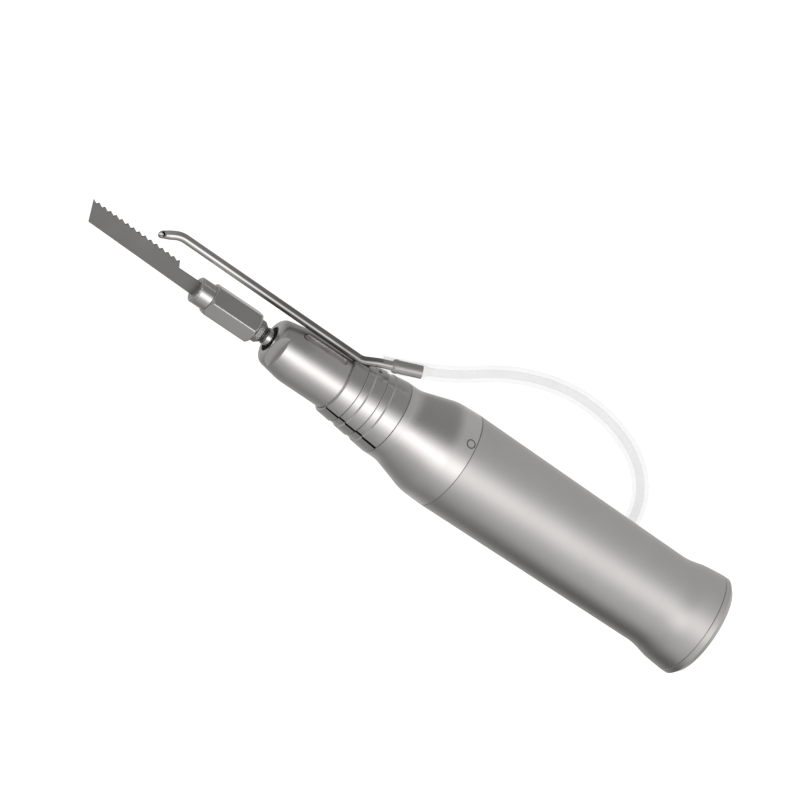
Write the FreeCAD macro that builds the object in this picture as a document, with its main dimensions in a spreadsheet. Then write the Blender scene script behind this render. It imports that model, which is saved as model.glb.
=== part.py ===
import FreeCAD, Part
import Sketcher
import math
import os

from FreeCAD import Placement, Rotation, Vector

# Straight surgical handpiece that drives a reciprocating saw blade.
# Millimetres. +X runs forward from the mouth of the motor coupling to the blade tip, +Z is the side
# that carries the irrigation nozzle, and the origin is the centre of the coupling mouth.

DRIVING_SIZES = {
    # Outer casing, rear to front
    "end_ring_length": 2.2,
    "end_ring_radius": 10.72,
    "end_ring_chamfer": 1.0,
    "sleeve_length": 58.6,
    "flare_length": 3.9,
    "flare_radius": 10.35,
    "waist_place": 7.6,
    "waist_radius": 9.47,
    "grip_radius": 10.2,
    "flare_round": 12.0,
    "nose_length": 43.3,
    "shoulder_place": 4.8,
    "shoulder_radius": 10.02,
    "shoulder_round": 10.0,
    "neck_place": 12.2,
    "neck_radius": 7.8,
    "neck_round": 8.0,
    "seat_place": 15.2,
    "head_radius": 5.68,
    "head_taper_length": 5.8,
    "head_taper_round": 14.0,
    "head_front_radius": 4.65,
    "head_front_round": 1.85,
    "mouth_radius": 2.66,
    "edge_break": 0.12,
    # Wrench flats and the pressed recess on the head
    "flat_distance": 3.5,
    "flat_length": 2.1,
    "recess_width": 1.5,
    "recess_corner": 0.5,
    "recess_set_back": 1.3,
    "recess_length": 10.2,
    "recess_depth": 0.25,
    "recess_turn": 19.0,
    # Inner tube with the motor coupling
    "coupling_radius": 7.75,
    "coupling_depth": 12.0,
    "coupling_wall": 0.75,
    "well_radius": 5.8,
    "well_depth": 8.0,
    "lip_radius": 2.4,
    "lip_thickness": 1.0,
    "tube_bore_radius": 6.6,
    "key_slot_width": 1.6,
    "key_slot_length": 5.0,
    "key_slot_depth": 0.4,
    # Fits
    "running_gap": 0.05,
    "seat_gap": 0.02,
    "side_gap": 0.3,
    # Reduction gear
    "module": 0.3,
    "sun_teeth": 18,
    "planet_teeth": 9,
    "planet_count": 3,
    "tooth_addendum": 0.9,
    "tooth_dedendum": 1.2,
    "pressure_angle": 25.0,
    "backlash": 0.03,
    "ring_gear_width": 5.0,
    "planet_width": 4.4,
    "planet_pin_radius": 0.5,
    "carrier_plate_radius": 5.4,
    "carrier_plate_thickness": 2.0,
    "rear_plate_thickness": 0.8,
    "gear_spacer_length": 9.5,
    "spacer_wall": 0.7,
    "shim_length": 3.5,
    # Drive shaft and its bearing
    "drive_shaft_radius": 1.5,
    "dog_radius": 2.6,
    "dog_length": 5.0,
    "dog_place": 13.5,
    "dog_slot_width": 1.2,
    "dog_slot_depth": 2.0,
    "drive_bearing_radius": 4.2,
    "drive_bearing_width": 3.0,
    "drive_roller_radius": 0.7,
    "drive_roller_count": 8,
    # Carrier hub and its bearing
    "hub_radius": 2.5,
    "cam_bearing_width": 4.0,
    "cam_roller_radius": 0.9,
    "cam_roller_count": 9,
    "roller_end_gap": 0.4,
    "spigot_length": 8.8,
    # Barrel cam and reciprocating plunger
    "cam_neck_radius": 2.0,
    "drum_radius": 4.2,
    "drum_length": 8.0,
    "drum_place": 3.7,
    "pilot_length": 3.0,
    "stroke": 1.8,
    "stroke_turn": 160.0,
    "follower_radius": 0.75,
    "follower_shank_radius": 0.5,
    "follower_depth": 0.9,
    "track_depth": 1.05,
    "cup_radius": 5.6,
    "cup_wall": 1.0,
    "cup_overlap": 6.8,
    "web_thickness": 3.4,
    "guide_pin_radius": 0.7,
    "guide_pin_place": 3.8,
    "rod_radius": 1.75,
    "rod_relief_radius": 2.1,
    "front_bush_length": 9.0,
    "bush_set_back": 2.3,
    "seal_length": 1.1,
    # Blade chuck
    "rod_reach": 1.2,
    "tenon_radius": 1.1,
    "tenon_length": 5.0,
    "chuck_neck_radius": 1.5,
    "chuck_neck_length": 0.25,
    "chuck_cone_length": 1.1,
    "chuck_collar_radius": 2.3,
    "chuck_collar_length": 1.0,
    "stud_radius": 2.0,
    "stud_length": 6.15,
    "nut_gap": 0.3,
    "nut_across_flats": 6.0,
    "nut_hex_length": 10.8,
    "nut_chamfer": 0.45,
    "nut_turn": 13.7,
    "nut_collar_radius": 2.68,
    "nut_collar_length": 3.3,
    "nut_lip_round": 0.45,
    "collet_radius": 1.9,
    # Saw blade
    "blade_thickness": 0.4,
    "blade_visible": 27.1,
    "shank_grip": 7.8,
    "shank_bottom": 1.42,
    "shank_top": 1.62,
    "shank_reach": 5.1,
    "shank_step": 0.9,
    "tooth_line_rear": 3.0,
    "tooth_line_front": 3.6,
    "blade_back_front": 0.75,
    "tip_slant": 2.1,
    "tooth_count": 15,
    "tooth_height": 0.5,
    "tooth_steep": 0.28,
    # Irrigation clip, nozzle tube and hose
    "clip_length": 12.5,
    "clip_rear_radius": 7.86,
    "clip_front_radius": 6.32,
    "clip_edge_round": 0.45,
    "rib_groove_depth": 0.22,
    "rib_groove_width": 1.8,
    "rib_groove_first": 3.4,
    "rib_groove_pitch": 4.2,
    "slit_width": 0.5,
    "slit_turn": 120.0,
    "tube_radius": 0.9,
    "tube_lumen_radius": 0.6,
    "tube_gap": 0.13,
    "tube_rise": 0.55,
    "tube_bend_place": 11.3,
    "tube_front_reach": 55.1,
    "tube_front_round": 4.0,
    "tube_tip_angle": 32.0,
    "tube_tip_run": 2.2,
    "tip_cone_length": 2.7,
    "tip_radius": 0.62,
    "tip_lumen_radius": 0.45,
    "tip_slant_length": 1.3,
    "tip_slant_set_back": 0.45,
    "tube_rear_round": 3.0,
    "tube_rear_rise": 1.58,
    "tube_rear_run": 2.9,
    "barb_angle": 22.6,
    "barb_offset": 2.7,
    "barb_length": 8.5,
    "barb_radius": 1.28,
    "barb_lip": 1.38,
    "barb_lip_length": 0.9,
    "hose_offset": 0.6,
    "hose_radius": 1.6,
    "hose_lumen_radius": 0.8,
}

# The hose's route, point by point from its first bend to its bare end.
HOSE_ROUTE = [
    (73.4, 0.0, 12.87),
    (63.0, -1.2, 20.9),
    (51.4, -4.2, 23.7),
    (39.6, -7.5, 22.3),
    (29.2, -10.5, 17.9),
    (22.2, -12.7, 11.3),
    (19.2, -13.7, 3.6),
    (20.4, -14.3, -4.6),
    (26.0, -14.6, -10.0),
    (34.0, -14.7, -11.4),
    (43.4, -14.5, -9.7),
    (53.6, -14.2, -9.3),
    (63.0, -13.8, -10.6),
]
# Share of the shorter run that each arc takes up on either side of its corner.
ARC_SHARE = 0.45
# Steps in which the cam's track winds through half a turn.
TRACK_STEPS = 12

doc = FreeCAD.newDocument("surgical_saw_handpiece")
sheet = doc.addObject("Spreadsheet::Sheet", "Sizes")
for row, (alias, number) in enumerate(DRIVING_SIZES.items(), start=1):
    sheet.set(f"A{row}", alias)
    sheet.set(f"B{row}", str(number))
    sheet.setAlias(f"B{row}", alias)
doc.recompute()


class Size:
    """A length or angle worked out from the sheet: its value, and the expression that gives it."""

    def __init__(self, value, text):
        self.value = float(value)
        self.text = text

    def __add__(self, other):
        other = as_size(other)
        return Size(self.value + other.value, f"({self.text} + {other.text})")

    def __sub__(self, other):
        other = as_size(other)
        return Size(self.value - other.value, f"({self.text} - {other.text})")

    def __mul__(self, other):
        other = as_size(other)
        return Size(self.value * other.value, f"({self.text} * {other.text})")

    def __truediv__(self, other):
        other = as_size(other)
        return Size(self.value / other.value, f"({self.text} / {other.text})")

    def __neg__(self):
        return Size(-self.value, f"(0 - {self.text})")

    def __rtruediv__(self, other):
        return as_size(other) / self

    __radd__ = __add__
    __rmul__ = __mul__


def as_size(item):
    return item if isinstance(item, Size) else Size(item, str(item))


class Sheet:
    """Reads a driving size by its alias."""

    def __getattr__(self, alias):
        return Size(sheet.get(alias), f"Sizes.{alias}")


S = Sheet()


def cosine(angle):
    return Size(math.cos(math.radians(angle.value)), f"cos({angle.text} * 1 deg)")


def sine(angle):
    return Size(math.sin(math.radians(angle.value)), f"sin({angle.text} * 1 deg)")


def bind(item, name, size):
    """Sets a property and ties it to the sheet."""
    size = as_size(size)
    if not name.startswith("."):
        setattr(item, name, size.value)
    item.setExpression(name, size.text)


# Places along the axis

ring_front = S.end_ring_length
seam = ring_front + S.sleeve_length
seat_rear = seam + S.seat_place
clip_front = seat_rear + S.clip_length
head_front = seam + S.nose_length

well_floor = S.coupling_depth + S.well_depth
drive_bearing_rear = well_floor + S.lip_thickness
partition_front = drive_bearing_rear + S.drive_bearing_width
ring_gear_rear = partition_front + S.gear_spacer_length
ring_gear_front = ring_gear_rear + S.ring_gear_width
cam_bearing_rear = ring_gear_front + S.shim_length
cam_bearing_front = cam_bearing_rear + S.cam_bearing_width
spigot_rear = seam - S.spigot_length

planet_rear = ring_gear_rear + (S.ring_gear_width - S.planet_width) / 2
planet_front = planet_rear + S.planet_width
carrier_plate_rear = ring_gear_front + S.side_gap
carrier_plate_front = carrier_plate_rear + S.carrier_plate_thickness
rear_plate_front = ring_gear_rear - S.side_gap
rear_plate_rear = rear_plate_front - S.rear_plate_thickness
planet_orbit = S.module * (S.sun_teeth + S.planet_teeth) / 2

cup_rear = seam - S.cup_overlap
track_middle = seam + S.drum_place
drum_rear = track_middle - S.drum_length / 2
drum_front = drum_rear + S.drum_length
web_rear = drum_front + S.stroke / 2 + S.side_gap * 2
web_front = web_rear + S.web_thickness
cup_bore_end = web_front + S.stroke / 2 + S.side_gap
pilot_front = drum_front + S.pilot_length
pilot_bore_front = pilot_front + S.stroke / 2 + S.side_gap

rod_front = head_front + S.rod_reach
collar_rear = rod_front + S.chuck_neck_length + S.chuck_cone_length
collar_front = collar_rear + S.chuck_collar_length
stud_front = collar_front + S.stud_length
nut_rear = collar_front + S.nut_gap
hex_front = nut_rear + S.nut_hex_length
nut_front = hex_front + S.nut_collar_length
blade_rear = nut_front - S.shank_grip
blade_tip = nut_front + S.blade_visible

chassis_radius = S.coupling_radius + S.coupling_wall
spacer_inner = S.tube_bore_radius - S.spacer_wall
cup_bore = S.cup_radius + S.running_gap
rod_bore = S.rod_radius + S.running_gap


# Drawing helpers

def origin_plane(body, role):
    return next(item for item in body.Origin.OriginFeatures if item.Role == role)


def new_body(label):
    body = doc.addObject("PartDesign::Body", label)
    body.Label = label
    return body


def new_sketch(body, name, role, offset=None, turn=None):
    """A sketch on one of the body's own planes, moved out along its normal or turned about X."""
    sketch = body.newObject("Sketcher::SketchObject", name)
    sketch.AttachmentSupport = (origin_plane(body, role), [""])
    sketch.MapMode = "FlatFace"
    angle = turn.value if turn else 0.0
    lift = offset.value if offset else 0.0
    rotation = Rotation(Vector(1, 0, 0), angle)
    sketch.AttachmentOffset = Placement(rotation.multVec(Vector(0, 0, lift)), rotation)
    if turn:
        sketch.setExpression(".AttachmentOffset.Rotation.Angle", turn.text)
    if offset:
        reach_y = as_size(0) if turn is None else -(offset * sine(turn))
        reach_z = offset if turn is None else offset * cosine(turn)
        sketch.setExpression(".AttachmentOffset.Base.y", reach_y.text)
        sketch.setExpression(".AttachmentOffset.Base.z", reach_z.text)
    return sketch


def pin_point(sketch, geometry, position, x, y):
    """Holds a point at x, y from the sketch's origin, each tied to the sheet."""
    for kind, axis, size in (("DistanceX", -2, as_size(x)), ("DistanceY", -1, as_size(y))):
        if size.text == "0":
            sketch.addConstraint(Sketcher.Constraint("PointOnObject", geometry, position, axis))
            continue
        index = sketch.addConstraint(
            Sketcher.Constraint(kind, -1, 1, geometry, position, size.value))
        sketch.setExpression(f"Constraints[{index}]", size.text)


def tie_radius(sketch, geometry, radius):
    index = sketch.addConstraint(Sketcher.Constraint("Radius", geometry, radius.value))
    sketch.setExpression(f"Constraints[{index}]", radius.text)


def draw_outline(sketch, corners, closed=True):
    """Straight runs from corner to corner; a third entry rounds its corner with a tangent arc."""
    points = [Vector(as_size(corner[0]).value, as_size(corner[1]).value, 0) for corner in corners]
    count = len(points)
    leave = list(points)
    arrive = list(points)
    arcs = {}
    for i, corner in enumerate(corners):
        if len(corner) < 3:
            continue
        before = (points[i - 1] - points[i]).normalize()
        after = (points[(i + 1) % count] - points[i]).normalize()
        half = before.getAngle(after) / 2
        reach = corner[2].value / math.tan(half)
        arrive[i] = points[i] + before * reach
        leave[i] = points[i] + after * reach
        centre = points[i] + (before + after).normalize() * (corner[2].value / math.sin(half))
        left_turn = (points[i] - points[i - 1]).cross(points[(i + 1) % count] - points[i]).z > 0
        first, last = (arrive[i], leave[i]) if left_turn else (leave[i], arrive[i])
        start = math.atan2(first.y - centre.y, first.x - centre.x)
        end = math.atan2(last.y - centre.y, last.x - centre.x)
        circle = Part.Circle(centre, Vector(0, 0, 1), corner[2].value)
        arcs[i] = (sketch.addGeometry(Part.ArcOfCircle(circle, start, end)), left_turn)
    runs = count if closed else count - 1
    lines = [sketch.addGeometry(Part.LineSegment(leave[i], arrive[(i + 1) % count]))
             for i in range(runs)]
    for i, corner in enumerate(corners):
        into = lines[i - 1] if i > 0 or closed else None
        out = lines[i] if i < runs else None
        if i in arcs:
            arc, left_turn = arcs[i]
            start, end = (1, 2) if left_turn else (2, 1)
            mark = sketch.addGeometry(Part.Point(points[i]), True)
            sketch.addConstraint(Sketcher.Constraint("Tangent", into, 2, arc, start))
            sketch.addConstraint(Sketcher.Constraint("Tangent", arc, end, out, 1))
            sketch.addConstraint(Sketcher.Constraint("PointOnObject", mark, 1, into))
            sketch.addConstraint(Sketcher.Constraint("PointOnObject", mark, 1, out))
            pin_point(sketch, mark, 1, corner[0], corner[1])
            tie_radius(sketch, arc, corner[2])
        elif out is None:
            pin_point(sketch, into, 2, corner[0], corner[1])
        else:
            if into is not None:
                sketch.addConstraint(Sketcher.Constraint("Coincident", into, 2, out, 1))
            pin_point(sketch, out, 1, corner[0], corner[1])


def draw_circle(sketch, radius, x=0, y=0):
    centre = Vector(as_size(x).value, as_size(y).value, 0)
    circle = sketch.addGeometry(Part.Circle(centre, Vector(0, 0, 1), radius.value))
    pin_point(sketch, circle, 3, x, y)
    tie_radius(sketch, circle, radius)


def revolve(body, name, corners, kind="PartDesign::Revolution"):
    """Turns an outline of (place along X, radius) corners about the X axis."""
    sketch = new_sketch(body, f"{name}_outline", "XZ_Plane")
    draw_outline(sketch, corners)
    feature = body.newObject(kind, name)
    feature.Profile = (sketch, [""])
    feature.ReferenceAxis = (sketch, ["H_Axis"])
    feature.Angle = 360.0
    body.Tip = feature
    return feature


def turned(label, corners):
    body = new_body(label)
    revolve(body, f"{label}_form", corners)
    return body


def tube(label, rear, front, inner, outer):
    return turned(label, [(rear, inner), (rear, outer), (front, outer), (front, inner)])


def cut(body, sketch, length, outward=True):
    """A pocket from its sketch, along the sketch's normal or against it; it has to take metal."""
    before = body.Tip
    pocket = body.newObject("PartDesign::Pocket", f"{sketch.Name}_cut")
    pocket.Profile = (sketch, [""])
    pocket.Reversed = outward
    bind(pocket, "Length", length)
    body.Tip = pocket
    doc.recompute()
    if not before.Shape.Volume - pocket.Shape.Volume > 1e-4:
        raise RuntimeError(f"{sketch.Name} cuts nothing")
    return pocket


def rectangle(low_x, high_x, low_y, high_y):
    return [(low_x, low_y), (high_x, low_y), (high_x, high_y), (low_x, high_y)]


def part_feature(label, shape):
    item = doc.addObject("Part::Feature", label)
    item.Label = label
    item.Shape = shape
    return item


# Casing

def make_end_ring():
    outer = S.end_ring_radius
    turned("end_ring", [
        (0, chassis_radius),
        (0, outer - S.end_ring_chamfer),
        (S.end_ring_chamfer, outer),
        (ring_front - S.edge_break, outer),
        (ring_front, outer - S.edge_break),
        (ring_front, chassis_radius),
    ])


def make_rear_sleeve():
    turned("rear_sleeve", [
        (ring_front, chassis_radius),
        (ring_front, S.end_ring_radius - S.edge_break),
        (ring_front + S.edge_break, S.end_ring_radius),
        (ring_front + S.flare_length, S.flare_radius, S.flare_round),
        (ring_front + S.waist_place, S.waist_radius, S.flare_round),
        (seam - S.edge_break, S.grip_radius),
        (seam, S.grip_radius - S.edge_break),
        (seam, chassis_radius),
    ])


def make_chassis_tube():
    body = turned("chassis_tube", [
        (0, S.coupling_radius),
        (0, chassis_radius),
        (seam, chassis_radius),
        (seam, S.tube_bore_radius),
        (partition_front, S.tube_bore_radius),
        (partition_front, S.drive_bearing_radius),
        (drive_bearing_rear, S.drive_bearing_radius),
        (drive_bearing_rear, S.lip_radius),
        (well_floor, S.lip_radius),
        (well_floor, S.well_radius),
        (S.coupling_depth, S.well_radius),
        (S.coupling_depth, S.coupling_radius),
    ])
    slot = new_sketch(body, "key_slot", "XY_Plane", offset=S.well_radius - S.key_slot_depth)
    draw_outline(slot, rectangle(
        S.coupling_depth, S.coupling_depth + S.key_slot_length,
        -(S.key_slot_width / 2), S.key_slot_width / 2))
    cut(body, slot, S.key_slot_depth * 2)


def make_nose_housing():
    body = turned("nose_housing", [
        (spigot_rear, cup_bore),
        (spigot_rear, S.tube_bore_radius - S.seat_gap),
        (seam, S.tube_bore_radius - S.seat_gap),
        (seam, S.grip_radius - S.edge_break),
        (seam + S.edge_break, S.grip_radius),
        (seam + S.shoulder_place, S.shoulder_radius, S.shoulder_round),
        (seam + S.neck_place, S.neck_radius, S.neck_round),
        (seat_rear - S.edge_break, S.neck_radius),
        (seat_rear, S.neck_radius - S.edge_break),
        (seat_rear, S.head_radius),
        (head_front - S.head_taper_length, S.head_radius, S.head_taper_round),
        (head_front, S.head_front_radius, S.head_front_round),
        (head_front, S.mouth_radius),
        (head_front - S.bush_set_back - S.front_bush_length, S.mouth_radius),
        (head_front - S.bush_set_back - S.front_bush_length, S.rod_relief_radius),
        (cup_bore_end, S.rod_relief_radius),
        (cup_bore_end, cup_bore),
    ])
    for side, sign in (("near", 1), ("far", -1)):
        flat = new_sketch(body, f"wrench_flat_{side}", "YZ_Plane", offset=head_front - S.flat_length)
        low, high = sorted((sign * S.flat_distance, sign * S.head_radius), key=lambda size: size.value)
        draw_outline(flat, rectangle(low, high, -S.head_radius, S.head_radius))
        cut(body, flat, S.flat_length)
    recess = new_sketch(body, "head_recess", "XY_Plane",
                        offset=S.head_radius - S.recess_depth, turn=-S.recess_turn)
    half = S.recess_width / 2
    rear = clip_front + S.recess_set_back
    tip = rear + S.recess_length
    draw_outline(recess, [
        (rear, -half, S.recess_corner),
        (tip, -half, S.recess_corner),
        (tip, half, S.recess_corner),
        (rear, half, S.recess_corner),
    ])
    cut(body, recess, S.head_radius)
    pin_hole = new_sketch(body, "guide_pin_hole", "XY_Plane")
    draw_circle(pin_hole, S.guide_pin_radius, x=seam - S.guide_pin_place)
    cut(body, pin_hole, S.tube_bore_radius, outward=False)


def make_guide_pin():
    pin = doc.addObject("Part::Cylinder", "guide_pin")
    pin.Label = "guide_pin"
    inner = S.cup_radius - S.cup_wall + S.running_gap
    bind(pin, "Radius", S.guide_pin_radius)
    bind(pin, "Height", S.tube_bore_radius - S.seat_gap * 2 - inner)
    pin.Placement = Placement(Vector(0, 0, 0), Rotation(Vector(1, 0, 0), 180))
    pin.setExpression(".Placement.Base.x", (seam - S.guide_pin_place).text)
    pin.setExpression(".Placement.Base.z", (-inner).text)


# Bearings

def make_bearing(prefix, rear, width, shaft_radius, outer_radius, roller_radius, count):
    """Roller bearing: two rings and the rollers between them."""
    pitch = (shaft_radius + outer_radius) / 2
    inner_track = pitch - roller_radius - S.running_gap
    outer_track = pitch + roller_radius + S.running_gap
    front = rear + width
    tube(f"{prefix}_bearing_inner", rear, front, shaft_radius, inner_track)
    tube(f"{prefix}_bearing_outer", rear, front, outer_track, outer_radius)
    end_gap = S.roller_end_gap.value
    length = width.value - 2 * end_gap
    rollers = []
    for step in range(int(count.value)):
        angle = 2 * math.pi * step / int(count.value)
        centre = Vector(rear.value + end_gap, pitch.value * math.cos(angle), pitch.value * math.sin(angle))
        rollers.append(Part.makeCylinder(roller_radius.value, length, centre, Vector(1, 0, 0)))
    part_feature(f"{prefix}_bearing_rollers", Part.makeCompound(rollers))


# Reduction gear

def involute_angle(base_radius, radius):
    """Polar angle of an involute that starts on base_radius, where it reaches radius."""
    if radius <= base_radius:
        return 0.0
    roll = math.acos(base_radius / radius)
    return math.tan(roll) - roll


def gear_outline(teeth, low_radius, high_radius, tooth_share, turn=0.0):
    """Closed outline of involute teeth between two radii; tooth_share is the tooth's half angle."""
    module, pressure = S.module.value, math.radians(S.pressure_angle.value)
    pitch_radius = module * teeth / 2
    base_radius = pitch_radius * math.cos(pressure)
    pitch_roll = involute_angle(base_radius, pitch_radius)
    flank = [low_radius, pitch_radius, high_radius]
    points = []
    for tooth in range(teeth):
        middle = turn + 2 * math.pi * tooth / teeth
        for side, radii in ((-1, flank), (1, flank[::-1])):
            for radius in radii:
                half = tooth_share - (involute_angle(base_radius, radius) - pitch_roll)
                angle = middle + side * half
                points.append(Vector(0, radius * math.cos(angle), radius * math.sin(angle)))
    return Part.makePolygon(points + points[:1])


def make_gears():
    """Sun, three planets and the fixed ring, in mesh at rest."""
    module = S.module.value
    sun_teeth, planet_teeth = int(S.sun_teeth.value), int(S.planet_teeth.value)
    ring_teeth = sun_teeth + 2 * planet_teeth
    addendum, dedendum = module * S.tooth_addendum.value, module * S.tooth_dedendum.value
    slack = S.backlash.value

    def blank(outline, rear, width):
        return Part.Face(outline).extrude(Vector(width, 0, 0)).translated(Vector(rear, 0, 0))

    def external(teeth, width, rear, bore, turn):
        pitch_radius = module * teeth / 2
        share = (math.pi * module / 2 - slack) / (2 * pitch_radius)
        outline = gear_outline(teeth, pitch_radius - dedendum, pitch_radius + addendum, share, turn)
        hole = Part.makeCylinder(bore, width, Vector(rear, 0, 0), Vector(1, 0, 0))
        return blank(outline, rear, width).cut(hole)

    width, rear = S.planet_width.value, planet_rear.value
    part_feature("sun_pinion", external(sun_teeth, width, rear, S.drive_shaft_radius.value, 0.0))
    orbit = planet_orbit.value
    pin_bore = (S.planet_pin_radius + S.running_gap).value
    count = int(S.planet_count.value)
    for number in range(count):
        place = 2 * math.pi * number / count
        half_tooth = math.pi / planet_teeth
        gear = external(planet_teeth, width, rear, pin_bore, place + math.pi + half_tooth)
        gear.translate(Vector(0, orbit * math.cos(place), orbit * math.sin(place)))
        part_feature(f"planet_gear_{number + 1}", gear)

    ring_pitch = module * ring_teeth / 2
    space = (math.pi * module / 2 + slack) / (2 * ring_pitch)
    planet_turn = math.pi / planet_teeth * ((planet_teeth + 1) % 2)
    outline = gear_outline(ring_teeth, ring_pitch - addendum, ring_pitch + dedendum, space,
                           planet_turn * planet_teeth / ring_teeth)
    ring_width = S.ring_gear_width.value
    blank_ring = Part.makeCylinder((S.tube_bore_radius - S.seat_gap).value, ring_width,
                                   Vector(ring_gear_rear.value, 0, 0), Vector(1, 0, 0))
    part_feature("ring_gear", blank_ring.cut(blank(outline, ring_gear_rear.value, ring_width)))


def make_carrier():
    body = turned("planet_carrier", [
        (carrier_plate_rear, S.drive_shaft_radius),
        (carrier_plate_rear, S.carrier_plate_radius),
        (carrier_plate_front, S.carrier_plate_radius),
        (carrier_plate_front, S.hub_radius),
        (cam_bearing_front + S.side_gap, S.hub_radius),
        (cam_bearing_front + S.side_gap, S.drive_shaft_radius),
    ])
    drill_pin_holes(body, carrier_plate_rear, S.carrier_plate_thickness)
    plate = tube("carrier_rear_plate", rear_plate_rear, rear_plate_front,
                 S.module * (S.sun_teeth + 2) / 2 + S.side_gap,
                 S.carrier_plate_radius)
    drill_pin_holes(plate, rear_plate_rear, S.rear_plate_thickness)
    for number in range(int(S.planet_count.value)):
        turn = 360 / S.planet_count * number
        pin = doc.addObject("Part::Cylinder", f"planet_pin_{number + 1}")
        pin.Label = f"planet_pin_{number + 1}"
        bind(pin, "Radius", S.planet_pin_radius)
        bind(pin, "Height", carrier_plate_front - rear_plate_rear)
        pin.Placement = Placement(Vector(0, 0, 0), Rotation(Vector(0, 1, 0), 90))
        pin.setExpression(".Placement.Base.x", rear_plate_rear.text)
        pin.setExpression(".Placement.Base.y", (planet_orbit * cosine(turn)).text)
        pin.setExpression(".Placement.Base.z", (planet_orbit * sine(turn)).text)


def drill_pin_holes(body, rear, depth):
    """One hole on the planets' orbit, repeated round the axis for each planet."""
    sketch = new_sketch(body, f"{body.Label}_pin_hole", "YZ_Plane", offset=rear)
    draw_circle(sketch, S.planet_pin_radius, x=planet_orbit)
    pocket = cut(body, sketch, depth)
    pattern = body.newObject("PartDesign::PolarPattern", f"{body.Label}_pin_holes")
    pattern.Originals = [pocket]
    pattern.Axis = (sketch, ["N_Axis"])
    pattern.Occurrences = int(S.planet_count.value)
    pattern.setExpression("Occurrences", S.planet_count.text)
    body.Tip = pattern


# Drive shaft

def make_drive_shaft():
    dog_front = S.dog_place + S.dog_length
    shaft_rear = S.dog_place + S.dog_slot_depth
    turned("drive_shaft", [
        (shaft_rear, 0),
        (shaft_rear, S.drive_shaft_radius),
        (planet_front, S.drive_shaft_radius),
        (planet_front, 0),
    ])
    dog = tube("drive_dog", S.dog_place, dog_front, S.drive_shaft_radius, S.dog_radius)
    slot = new_sketch(dog, "dog_slot", "YZ_Plane", offset=S.dog_place)
    draw_outline(slot, rectangle(-S.dog_radius, S.dog_radius,
                                 -(S.dog_slot_width / 2), S.dog_slot_width / 2))
    cut(dog, slot, S.dog_slot_depth)


# Barrel cam

def helical_slot(middle, half_angle, half_rise, radius, depth, half_width, start_angle):
    """Solid of a slot that winds round the drum at a steady lead, centred on start_angle."""
    sections = []
    for step in range(TRACK_STEPS + 1):
        share = 2 * step / TRACK_STEPS - 1
        angle = start_angle + abs(half_angle) * share
        x = middle + half_rise * share * (1 if half_angle > 0 else -1)
        out = Vector(0, math.cos(angle), math.sin(angle))
        corners = [Vector(x + side * half_width, 0, 0) + out * height
                   for side, height in ((-1, radius - depth), (1, radius - depth),
                                        (1, radius + depth), (-1, radius + depth))]
        sections.append(Part.makePolygon(corners + corners[:1]))
    return Part.makeLoft(sections, True, False)


def make_cam_shaft():
    """Shaft, drum and front pilot, with a closed track that sends the follower to and fro."""
    rear = carrier_plate_front.value
    neck_rear = (cam_bearing_front + S.side_gap).value
    profile = [
        (rear, 0), (rear, S.drive_shaft_radius.value),
        (neck_rear, S.drive_shaft_radius.value), (neck_rear, S.cam_neck_radius.value),
        (drum_rear.value, S.cam_neck_radius.value), (drum_rear.value, S.drum_radius.value),
        (drum_front.value, S.drum_radius.value), (drum_front.value, S.drive_shaft_radius.value),
        (pilot_front.value, S.drive_shaft_radius.value), (pilot_front.value, 0),
    ]
    points = [Vector(x, 0, radius) for x, radius in profile]
    shape = Part.Face(Part.makePolygon(points + points[:1])).revolve(Vector(0, 0, 0), Vector(1, 0, 0), 360)
    quarter = math.pi / 2
    half_rise = S.stroke.value / 2 * 180 / S.stroke_turn.value
    slope = half_rise / quarter / S.drum_radius.value
    half_width = S.follower_radius.value * math.sqrt(1 + slope * slope) + 2 * S.running_gap.value
    for start_angle, half_angle in ((quarter, quarter), (-quarter, -quarter)):
        shape = shape.cut(helical_slot(track_middle.value, half_angle, half_rise, S.drum_radius.value,
                                       S.track_depth.value, half_width, start_angle))
    for angle, rise in ((0.0, -half_rise), (math.pi, half_rise)):
        out = Vector(0, math.cos(angle), math.sin(angle))
        foot = Vector(track_middle.value + rise, 0, 0) + out * (S.drum_radius.value - S.track_depth.value)
        turn_radius = S.follower_radius.value + S.running_gap.value
        shape = shape.cut(Part.makeCylinder(turn_radius, 2 * S.track_depth.value, foot, out))
    part_feature("cam_shaft", shape)


# Plunger

def make_plunger():
    inner = S.cup_radius - S.cup_wall
    body = turned("plunger", [
        (cup_rear, inner),
        (cup_rear, S.cup_radius),
        (web_front, S.cup_radius),
        (web_front, S.rod_radius),
        (rod_front, S.rod_radius),
        (rod_front, S.tenon_radius),
        (rod_front + S.tenon_length, S.tenon_radius),
        (rod_front + S.tenon_length, 0),
        (pilot_bore_front, 0),
        (pilot_bore_front, S.drive_shaft_radius + S.running_gap),
        (web_rear, S.drive_shaft_radius + S.running_gap),
        (web_rear, inner),
    ])
    half_slot = S.guide_pin_radius + S.running_gap
    place = seam - S.guide_pin_place
    slot = new_sketch(body, "guide_slot", "XY_Plane")
    draw_outline(slot, rectangle(
        place - S.stroke / 2 - half_slot - S.side_gap, place + S.stroke / 2 + half_slot + S.side_gap,
        -half_slot, half_slot))
    cut(body, slot, S.cup_radius, outward=False)
    hole = new_sketch(body, "follower_hole", "XY_Plane")
    draw_circle(hole, S.follower_shank_radius, x=track_middle)
    cut(body, hole, S.cup_radius)


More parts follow.
